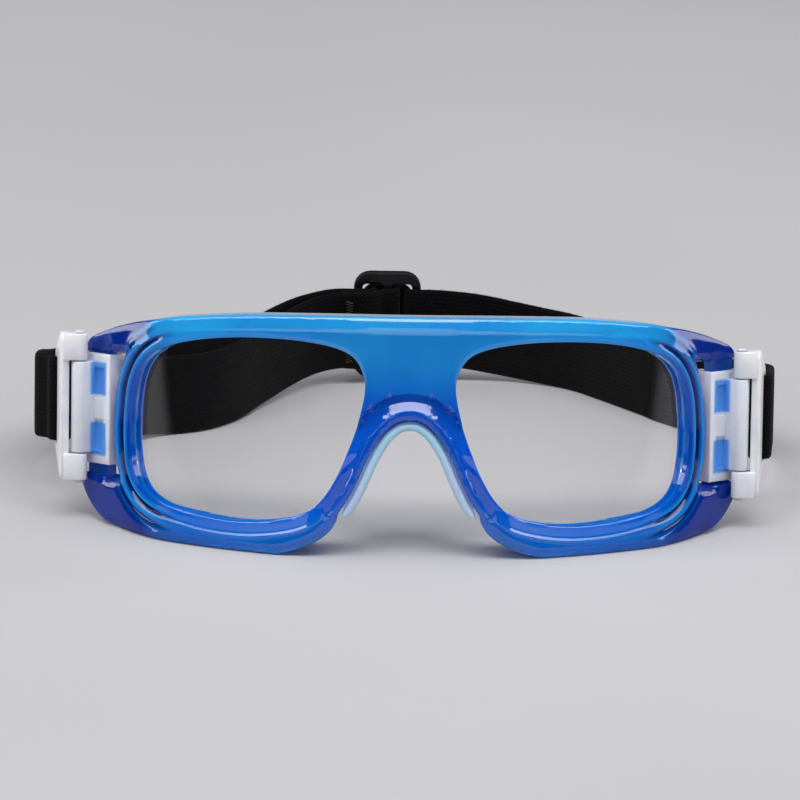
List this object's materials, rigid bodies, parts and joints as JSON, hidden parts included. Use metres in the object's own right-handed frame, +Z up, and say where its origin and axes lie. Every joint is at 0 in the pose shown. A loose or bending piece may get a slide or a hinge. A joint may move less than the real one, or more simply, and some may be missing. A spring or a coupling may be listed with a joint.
{
  "type": "sports protective goggles",
  "caption": "Wrap-round sports goggles with a clear blue frame, large lenses, a soft nose pad, frosted swivel clips at the sides and an adjustable elastic head strap.",
  "frame": {"origin": "on the floor under the middle of the bounding box, with the goggles standing on the lower edge of the frame and on the strap", "axes": "+X along the width, to the right as seen from in front; -Y is the front of the frame, +Y the back of the strap; +Z up"},
  "size_m": [0.1778, 0.1386, 0.0554],
  "materials": {
    "frame_blue": "clear tinted, polished",
    "lens_clear": "clear, polished",
    "pad_silicone": "satin translucent silicone",
    "clip_frosted": "frosted translucent",
    "pin_plastic": "frosted",
    "strap_black": "woven elastic webbing",
    "slider_grey": "smooth moulded",
    "thread_black": "stitching"
  },
  "bodies": {
    "frame": {"front_frame": "frame_blue", "left_lens": "lens_clear", "right_lens": "lens_clear", "nose_pad": "pad_silicone", "strap_back_right": "strap_black", "strap_outer_left": "strap_black", "strap_inner_left": "strap_black"},
    "left_clip_body": {"left_clip": "clip_frosted"},
    "right_clip_body": {"right_clip": "clip_frosted"},
    "left_buckle_body": {"left_strap_buckle": "clip_frosted", "left_upper_pin": "pin_plastic", "left_lower_pin": "pin_plastic", "strap_left_loop": "strap_black"},
    "right_buckle_body": {"right_strap_buckle": "clip_frosted", "right_upper_pin": "pin_plastic", "right_lower_pin": "pin_plastic", "strap_right_loop": "strap_black", "right_bar_tack": "thread_black"},
    "slider_body": {"strap_slider": "slider_grey", "strap_slider_wrap": "strap_black", "strap_slider_loop": "strap_black", "slider_bar_tack": "thread_black"}
  },
  "joints": [
    {"name": "left_clip_slide", "type": "slide", "parent": "frame", "child": "left_clip_body", "axis": [0, 0.1908, 0.9816], "range_m": [-0.0022, 0.0002], "deforming": ["strap_outer_left", "strap_inner_left"]},
    {"name": "right_clip_slide", "type": "slide", "parent": "frame", "child": "right_clip_body", "axis": [0, 0.1908, 0.9816], "range_m": [-0.0002, 0.0022], "deforming": ["strap_back_right"]},
    {"name": "left_buckle_swivel", "type": "hinge", "parent": "left_clip_body", "child": "left_buckle_body", "pos_m": [-0.0774, -0.04106, 0.02639], "axis": [0, 0.1908, 0.9816], "range_deg": [-25, 25], "deforming": ["strap_outer_left", "strap_inner_left"]},
    {"name": "right_buckle_swivel", "type": "hinge", "parent": "right_clip_body", "child": "right_buckle_body", "pos_m": [0.0774, -0.04144, 0.02443], "axis": [0, 0.1908, 0.9816], "range_deg": [-25, 25], "deforming": ["strap_back_right"]},
    {"name": "slider_slide", "type": "slide", "parent": "frame", "child": "slider_body", "axis": [1, 0, 0], "range_m": [-0.008, 0.008], "deforming": ["strap_back_right", "strap_outer_left", "strap_inner_left"]}
  ]
}
